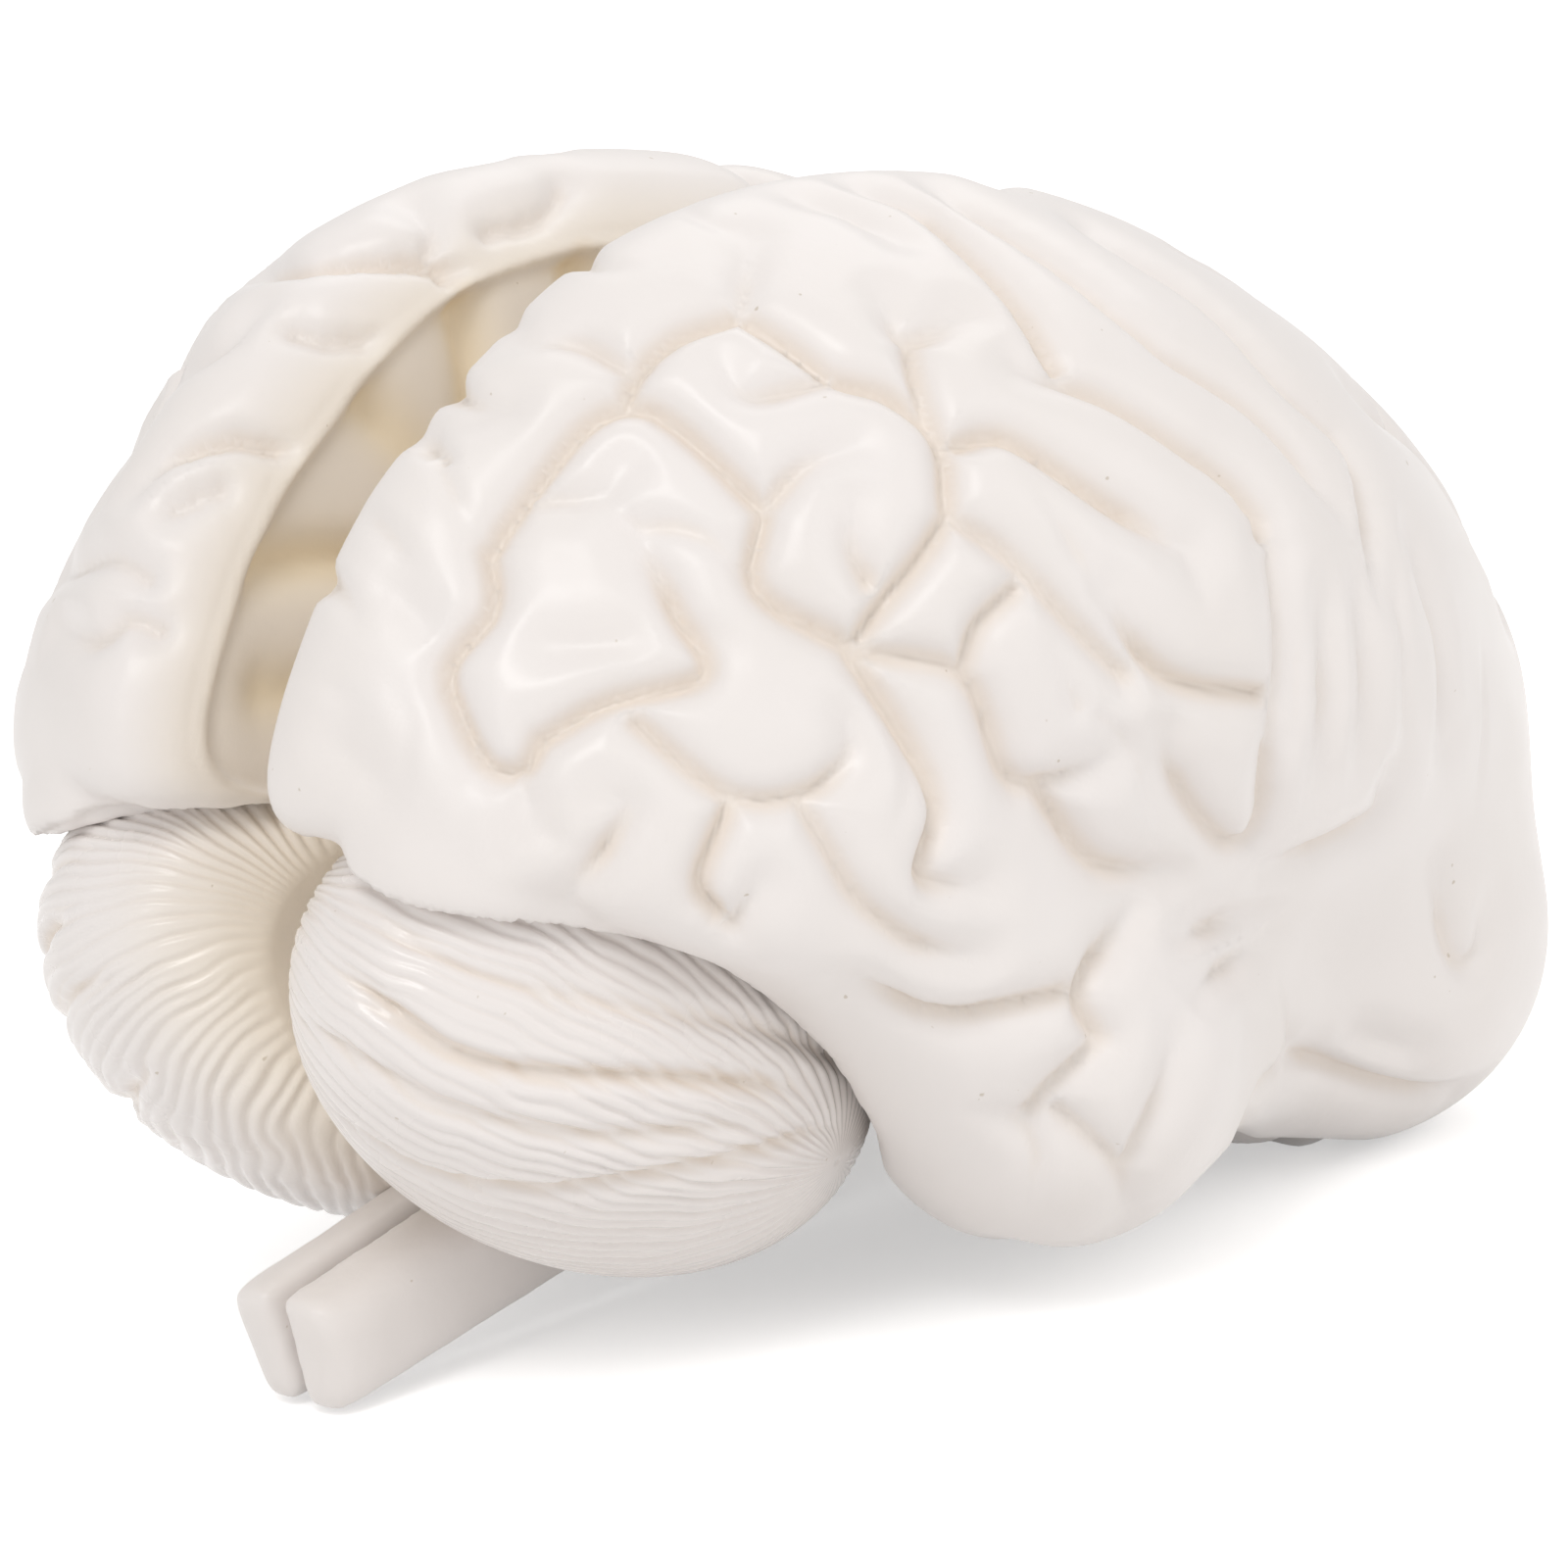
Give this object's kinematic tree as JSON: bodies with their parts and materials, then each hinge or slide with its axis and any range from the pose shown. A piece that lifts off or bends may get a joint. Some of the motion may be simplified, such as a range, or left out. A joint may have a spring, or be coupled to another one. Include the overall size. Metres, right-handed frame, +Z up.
{
  "type": "brain anatomy model",
  "caption": "Unpainted ivory plastic teaching model of a human brain, split down the middle into halves that lean together, with pegged cerebellum and brainstem halves.",
  "frame": {"origin": "middle of the model's footprint on the table", "axes": "+Y towards the forehead, +X to the brain's own right, +Z up; the model rests nose down on its frontal lobes and the tips of its brainstem"},
  "size_m": [0.1422, 0.174, 0.1225],
  "materials": {
    "moulding": "satin",
    "peg": "satin"
  },
  "bodies": {
    "root": {"hemisphere_right": "moulding", "cerebellum_half_right": "moulding", "brainstem_half_right": "moulding", "cerebellum_peg_right_1": "peg", "cerebellum_peg_right_2": "peg", "brainstem_peg_right": "peg", "hemisphere_left": "moulding", "cerebellum_half_left": "moulding", "brainstem_half_left": "moulding", "cerebellum_peg_left_1": "peg", "cerebellum_peg_left_2": "peg", "brainstem_peg_left": "peg"}
  },
  "joints": []
}
